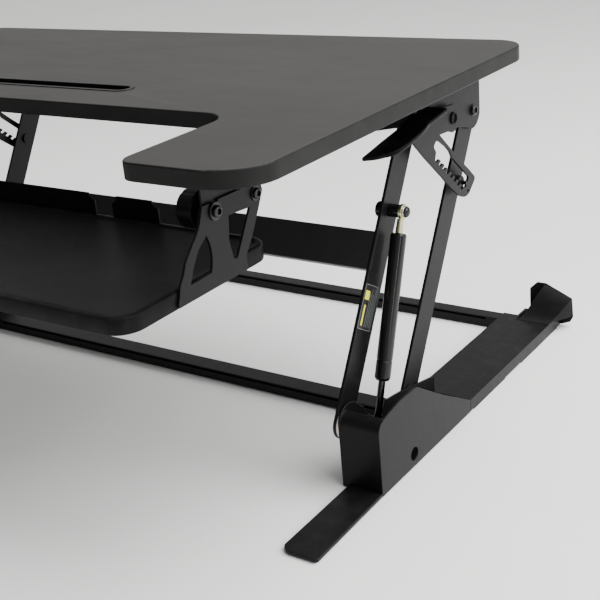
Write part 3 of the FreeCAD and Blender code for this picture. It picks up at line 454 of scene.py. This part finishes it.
# the same for the other nodes
SINGLES = (
    ("front_crossbar", STEEL, 0.8, 3),
    ("rear_crossbar", STEEL, 0.8, 3),
    # the arm crossbar takes the lighter coat with painted light
    ("arm_crossbar", LIT_CROSSBAR_STEEL, 1.2, 3),
    ("base_pads", RUBBER, 0.3, 2),
    ("slot_trim", TRIM, 0.5, 3),
    ("tray_tabs", BRACKET_STEEL, 0.5, 2),
    ("foot_washers", NYLON, 0.3, 2),
    ("head_washers", NYLON, 0.3, 2),
    ("front_foot_pins", OXIDE, 0.7, 3),
    ("rear_foot_pins", OXIDE, 0.7, 3),
    ("spring_anchors", OXIDE, 0.5, 3),
    ("bracket_screws", OXIDE, 0.5, 3),
    ("hanger_screws", OXIDE, 0.5, 3),
)
for node_name, finish, edge, rounds in SINGLES:
    dress(node_name, finish, edge, rounds)

# the rear arms turn on black washers, the front ones on natural nylon
washers = NODES["foot_washers"]
washers.data.materials.append(TRIM)
washers_low, washers_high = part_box("foot_washers")
washers_middle = (washers_low.y + washers_high.y) / 2
for face in washers.data.polygons:
    face.material_index = 1 if face.center.y > washers_middle else 0

# the worktop's flat faces take the laminate and its sides the edge band
board = finish_node("worktop_board", TOP)
board.data.materials.append(EDGE)
for face in board.data.polygons:
    face.material_index = 0 if abs(face.normal.z) > LEVEL else 1
even_shading(board, BOARD_SHADING)


# --- keyboard tray --------------------------------------------------------------
CORNER_STEPS = 14


def rounded_ring(half_x, y_front, y_back, radius, inset):
    """Corner-rounded rectangle of (x, y) points, moved inwards by an inset, in millimetres."""
    points = []
    r = max(radius - inset, 1.0)
    corners = (
        (half_x - inset, y_front + inset, -90.0, -1, 1),
        (half_x - inset, y_back - inset, 0.0, -1, -1),
        (-half_x + inset, y_back - inset, 90.0, 1, -1),
        (-half_x + inset, y_front + inset, 180.0, 1, 1),
    )
    for corner_x, corner_y, start, toward_x, toward_y in corners:
        centre = (corner_x + toward_x * r, corner_y + toward_y * r)
        for step in range(CORNER_STEPS + 1):
            turn = math.radians(start + 90.0 * step / CORNER_STEPS)
            points.append((centre[0] + r * math.cos(turn), centre[1] + r * math.sin(turn)))
    return points


tray_low, tray_high = (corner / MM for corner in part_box("keyboard_tray"))
TRAY_CORNER = 25.0
# from the middle of the underside, round the rim and down to the recess: inset, height
TRAY_PROFILE = (
    (12.0, tray_low.z),
    (1.6, tray_low.z),
    (0.4, tray_low.z + 0.5),
    (0.0, tray_low.z + 1.6),
    (0.0, tray_high.z - 2.6),
    (0.5, tray_high.z - 1.1),
    (1.6, tray_high.z - 0.25),
    (3.0, tray_high.z),
    (6.2, tray_high.z),
    (7.2, tray_high.z - 0.35),
    (7.8, tray_high.z - 1.3),
    (9.0, tray_high.z - 1.6),
)
tray_bm = bmesh.new()
skin(tray_bm, [
    [(x, y, z) for x, y in rounded_ring(tray_high.x, tray_low.y, tray_high.y, TRAY_CORNER, inset)]
    for inset, z in TRAY_PROFILE
])
tray = new_object("keyboard_tray_shell", tray_bm, PLASTIC, "tray")
tray.data.materials.append(TRAY)
# the recess is the one many-sided face below the rim that looks up
below_rim = (tray_high.z - 1.5) * MM
for face in tray.data.polygons:
    if face.normal.z > LEVEL and face.center.z < below_rim and len(face.vertices) > 4:
        face.material_index = 1
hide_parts("keyboard_tray")


# --- rear stops -------------------------------------------------------------------
# the ramp twists as it climbs from the rail to the end plate; each pair is (at rail, at plate)
RAMP_Y = (331.0, 372.2)
RAMP_INNER_X = (381.0, 407.0)
RAMP_OUTER_X = (429.4, 446.4)
RAMP_INNER_TOP = (17.1, 58.6)
RAMP_OUTER_TOP = (17.1, 41.7)
RAMP_INNER_FOOT = 16.9
RAMP_OUTER_FOOT = (16.9, 15.9)
RAMP_STEPS = 8
RAMP_EDGE = 0.6
PLATE_Y = (372.4, 374.7)
PLATE_OUTLINE = (
    (384.0, 1.7), (431.0, 1.7), (443.6, 7.1), (447.8, 15.3),
    (446.0, 42.3), (407.7, 59.6), (394.9, 59.7), (384.0, 49.0),
)


def between(pair, share):
    """Value at a share of the way from the pair's first number to its second."""
    return pair[0] + (pair[1] - pair[0]) * share


def ramp_section(share):
    """Ramp cross-section at a share of the way from the rail to the end plate."""
    # slow at first, then steeper, up to 1 at the plate
    climb = share * share * (2.2 - 1.2 * share)
    inner = between(RAMP_INNER_X, share)
    outer = between(RAMP_OUTER_X, climb)
    y = between(RAMP_Y, share)
    return [
        (inner, y, RAMP_INNER_FOOT),
        (inner, y, between(RAMP_INNER_TOP, climb)),
        (outer, y, between(RAMP_OUTER_TOP, climb)),
        (outer, y, between(RAMP_OUTER_FOOT, climb)),
    ]


for side, sign in SIDES:
    stop_bm = bmesh.new()
    skin(stop_bm, [[(x, y, z) for x, z in PLATE_OUTLINE] for y in PLATE_Y])
    skin(stop_bm, [ramp_section(step / RAMP_STEPS) for step in range(RAMP_STEPS + 1)])
    bmesh.ops.scale(stop_bm, vec=(sign, 1.0, 1.0), verts=stop_bm.verts)
    stop = new_object("rear_stop_shell_" + side, stop_bm, STEEL, "base")
    soften(stop, RAMP_EDGE, 3)
    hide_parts("rear_stop_" + side)


# --- bolts, studs and pivots --------------------------------------------------------
TURNED_STEPS = 48
SIXTH_TURN = math.pi / 3.0
# third value of a profile's point that lies on a hexagonal socket
SOCKET = "socket"


def turned_on_x(bm, sign, profile, y, z):
    """Turned solid about an axis along X, from (x, radius) or (x, radius, SOCKET) points."""
    sections = []
    for x, radius, *socket in profile:
        section = []
        for step in range(TURNED_STEPS):
            turn = 2.0 * math.pi * step / TURNED_STEPS
            reach = radius
            if socket:
                reach *= math.cos(SIXTH_TURN / 2) / math.cos(turn % SIXTH_TURN - SIXTH_TURN / 2)
            section.append((sign * x, y + reach * math.cos(turn), z + reach * math.sin(turn)))
        sections.append(section)
    skin(bm, sections)


def turned_pair(name, profile, stands_at, material, body):
    """Turned piece on both sides, centred on a CAD node's own axis."""
    low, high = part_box(stands_at)
    middle = (low + high) / 2 / MM
    bm = bmesh.new()
    for _, sign in SIDES:
        turned_on_x(bm, sign, profile, middle.y, middle.z)
    piece = new_object(name, bm, material, body, TURNED_SMOOTH_ANGLE)
    return piece


# each profile runs from the inner end to the outer end, in millimetres from the middle plane
HEAD_BOLT = (
    (368.55, 4.5), (368.9, 7.2), (369.8, 8.6), (370.8, 8.95), (372.2, 8.95), (372.3, 4.95),
    (381.0, 4.95), (381.05, 7.4), (382.1, 7.4), (382.2, 6.3), (383.8, 6.2), (384.8, 5.5),
    (385.35, 4.4), (385.45, 3.7, SOCKET), (383.2, 3.5, SOCKET), (383.0, 0.3),
)
TRAY_PIVOT = (
    (331.55, 5.6), (332.1, 6.8), (335.1, 6.9), (335.2, 3.95), (341.3, 3.95),
    (341.35, 7.4), (342.4, 7.4), (342.5, 5.7), (344.3, 5.6), (345.2, 5.0), (345.7, 4.0),
    (345.75, 3.3, SOCKET), (343.6, 3.1, SOCKET), (343.4, 0.3),
)
TRAY_CLAMP = (
    (314.05, 3.4), (314.4, 3.9), (341.3, 3.95), (341.35, 8.9), (342.8, 8.9), (342.9, 5.9),
    (345.4, 5.8), (346.2, 5.2), (346.65, 4.3), (346.75, 3.4, SOCKET), (344.4, 3.2, SOCKET),
    (344.2, 0.3),
)
STUD = (
    (361.05, 6.4), (361.6, 8.3), (362.6, 8.95), (372.4, 8.95), (372.5, 5.95), (376.3, 5.95),
    (376.35, 7.4), (389.7, 7.4), (389.85, 3.95), (395.6, 3.95), (395.7, 6.3), (397.2, 6.2),
    (398.5, 5.5), (399.5, 4.3), (400.15, 2.8), (400.42, 1.2), (400.48, 0.3),
)
STUD_RIM = (
    (394.75, 4.1), (394.78, 6.3), (395.1, 6.45), (396.1, 6.45), (396.3, 6.2), (396.32, 4.1),
)
LEVER_PIVOT = (
    (376.95, 6.9), (378.4, 6.9), (378.4, 4.95), (381.0, 4.95), (381.05, 7.9), (386.2, 7.9),
    (386.25, 4.95), (389.8, 4.95), (389.85, 7.1), (390.8, 7.4), (391.75, 6.8), (391.75, 5.4),
    (390.2, 5.0), (390.0, 0.3),
)
for node_name, profile, finish, body in (
    ("front_head_pins", HEAD_BOLT, BOLT, "worktop"),
    ("rear_head_pins", HEAD_BOLT, BOLT, "worktop"),
    ("tray_pivot_bolts", TRAY_PIVOT, BOLT, "worktop"),
    ("tray_clamp_bolts", TRAY_CLAMP, BOLT, "worktop"),
    ("spring_studs", STUD, ENAMEL, "front_arms"),
):
    turned = turned_pair(node_name + "_turned", profile, node_name, finish, body)
    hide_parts(node_name)
turned_pair("stud_rims_turned", STUD_RIM, "spring_studs", ZINC, "front_arms")
lever_pivots = turned_pair(
    "lever_pivots_turned", LEVER_PIVOT, "lever_pivots", GRIP, "worktop",
)
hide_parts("lever_pivots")


# --- plain band on the front arms -----------------------------------------------------
# the front arm runs from the lift joint to the worktop's joint
ARM_FOOT = Vector(JOINTS["lift"]["pos_m"]) / MM
ARM_HEAD = Vector(JOINTS["worktop_level"]["pos_m"]) / MM
ARM_RUN = (ARM_HEAD - ARM_FOOT).normalized()
ARM_FACE = 376.3


def on_arm(bm, sign, along, across, out):
    """Thin plate on a front arm, from its ranges along and across the arm and off its face."""
    outline = (
        (along[0], across[0]), (along[1], across[0]),
        (along[1], across[1]), (along[0], across[1]),
    )
    skin(bm, [
        [(
            sign * (ARM_FACE + height),
            ARM_FOOT.y + s * ARM_RUN.y - w * ARM_RUN.z,
            ARM_FOOT.z + s * ARM_RUN.z + w * ARM_RUN.y,
        ) for s, w in outline]
        for height in out
    ])


# millimetres from the arm's foot and from its middle line
BAND_ALONG = (104.0, 154.0)
BAND_ACROSS = (-11.0, 16.5)
LINE = 0.5
BORDER = (
    (BAND_ALONG, (BAND_ACROSS[0], BAND_ACROSS[0] + LINE)),
    (BAND_ALONG, (BAND_ACROSS[1] - LINE, BAND_ACROSS[1])),
    ((BAND_ALONG[0], BAND_ALONG[0] + LINE), BAND_ACROSS),
    ((BAND_ALONG[1] - LINE, BAND_ALONG[1]), BAND_ACROSS),
)
RULES = tuple(
    ((107.5, 150.0 - 6.0 * (i % 2)), (-7.6 + 3.4 * i, -7.0 + 3.4 * i))
    for i in range(4)
)
MARKS = (((137.0, 147.0), (5.0, 14.0)), ((108.0, 131.0), (8.6, 11.6)))
for side, sign in SIDES:
    for label, plates, out, finish in (
        ("film", ((BAND_ALONG, BAND_ACROSS),), (-0.05, 0.12), FILM),
        ("band", MARKS, (0.0, 0.20), YELLOW),
        ("lines", BORDER + RULES, (0.0, 0.17), PALE),
    ):
        plate_bm = bmesh.new()
        for along, across in plates:
            on_arm(plate_bm, sign, along, across, out)
        piece = new_object("arm_label_" + label + "_" + side, plate_bm, finish, "front_arms")


# --- stage, light, camera ----------------------------------------------------------
def pale_floor():
    """Plain pale floor with faint clouds."""
    g = Graph("pale_floor")
    cloud = g.ramp(g.noise(2.2, 4.0, 0.6), [(0.3, 0.0), (0.75, 1.0)])
    body = g.mixed(cloud, (0.86, 0.86, 0.85), (0.90, 0.90, 0.89))
    roughness = g.ranged(g.noise(60.0, 4.0), 0.42, 0.60)
    return g.finish(body, roughness, g.bump(g.noise(700.0, 3.0), 0.00004, 0.3))


FLOOR_REACH = 14.0
floor_bm = bmesh.new()
floor_bm.faces.new([
    floor_bm.verts.new((x * FLOOR_REACH, y * FLOOR_REACH, 0.0))
    for x, y in ((-1, -1), (1, -1), (1, 1), (-1, 1))
])
floor_mesh = bpy.data.meshes.new("floor")
floor_bm.to_mesh(floor_mesh)
floor_bm.free()
floor_mesh.materials.append(pale_floor())
floor = bpy.data.objects.new("floor", floor_mesh)
bpy.context.scene.collection.objects.link(floor)

world = bpy.data.worlds.new("studio")
world.use_nodes = True
sky = world.node_tree
backdrop = sky.nodes["Background"]
backdrop.inputs["Color"].default_value = (1.0, 1.0, 0.99, 1.0)
direction = sky.nodes.new("ShaderNodeTexCoord")
axes = sky.nodes.new("ShaderNodeSeparateXYZ")
sky.links.new(direction.outputs["Generated"], axes.inputs["Vector"])


def sky_light(axis, low, high, dimmest, brightest, ramp):
    """Strength that rises along one axis of the sky."""
    light = sky.nodes.new("ShaderNodeMapRange")
    light.interpolation_type = ramp
    light.inputs["From Min"].default_value = low
    light.inputs["From Max"].default_value = high
    light.inputs["To Min"].default_value = dimmest
    light.inputs["To Max"].default_value = brightest
    sky.links.new(axes.outputs[axis], light.inputs["Value"])
    return light.outputs["Result"]


def added(first, second):
    """Sum of two strengths."""
    total = sky.nodes.new("ShaderNodeMath")
    total.operation = "ADD"
    sky.links.new(first, total.inputs[0])
    sky.links.new(second, total.inputs[1])
    return total.outputs["Value"]


# dim in front and on the left, brighter behind, on the right and overhead
from_behind = sky_light("Y", -0.55, 0.60, 0.12, 0.62, "SMOOTHSTEP")
from_right = sky_light("X", -0.15, 0.75, 0.0, 0.75, "SMOOTHSTEP")
from_above = sky_light("Z", 0.25, 1.0, 0.0, 0.50, "LINEAR")
sky.links.new(added(added(from_behind, from_above), from_right), backdrop.inputs["Strength"])
bpy.context.scene.world = world


def softbox(name, place, aim, width, height, power):
    """Rectangular studio light at a place, facing an aim."""
    light = bpy.data.lights.new(name, "AREA")
    light.shape = "RECTANGLE"
    light.size = width
    light.size_y = height
    light.energy = power
    lamp = bpy.data.objects.new(name, light)
    bpy.context.scene.collection.objects.link(lamp)
    lamp.location = place
    lamp.rotation_mode = "QUATERNION"
    lamp.rotation_quaternion = (Vector(aim) - Vector(place)).to_track_quat("-Z", "Y")


softbox("overhead", (1.3, 0.5, 2.5), (0.1, 0.0, 0.2), 2.4, 2.2, 120.0)
softbox("right_side", (2.6, 0.6, 1.5), (0.3, 0.0, 0.2), 1.4, 1.4, 46.0)
softbox("right_strip", (2.2, -1.0, 1.0), (0.39, -0.05, 0.2), 0.10, 1.8, 9.0)

# metres and unit directions of the view
CAMERA_PLACE = (0.99268, -1.00892, 0.67280, 1.0)
CAMERA_RIGHT = (0.82461, 0.55891, -0.08750, 0.0)
CAMERA_UP = (-0.14804, 0.36247, 0.92018, 0.0)
CAMERA_BACK = (0.54601, -0.74582, 0.38162, 0.0)
camera_data = bpy.data.cameras.new("photo_view")
camera_data.sensor_width = 36.0
camera_data.lens = 67.97
camera_data.clip_start = 0.05
camera_data.clip_end = 60.0
camera = bpy.data.objects.new("photo_view", camera_data)
bpy.context.scene.collection.objects.link(camera)
camera.matrix_world = Matrix((CAMERA_RIGHT, CAMERA_UP, CAMERA_BACK, CAMERA_PLACE)).transposed()
bpy.context.scene.camera = camera
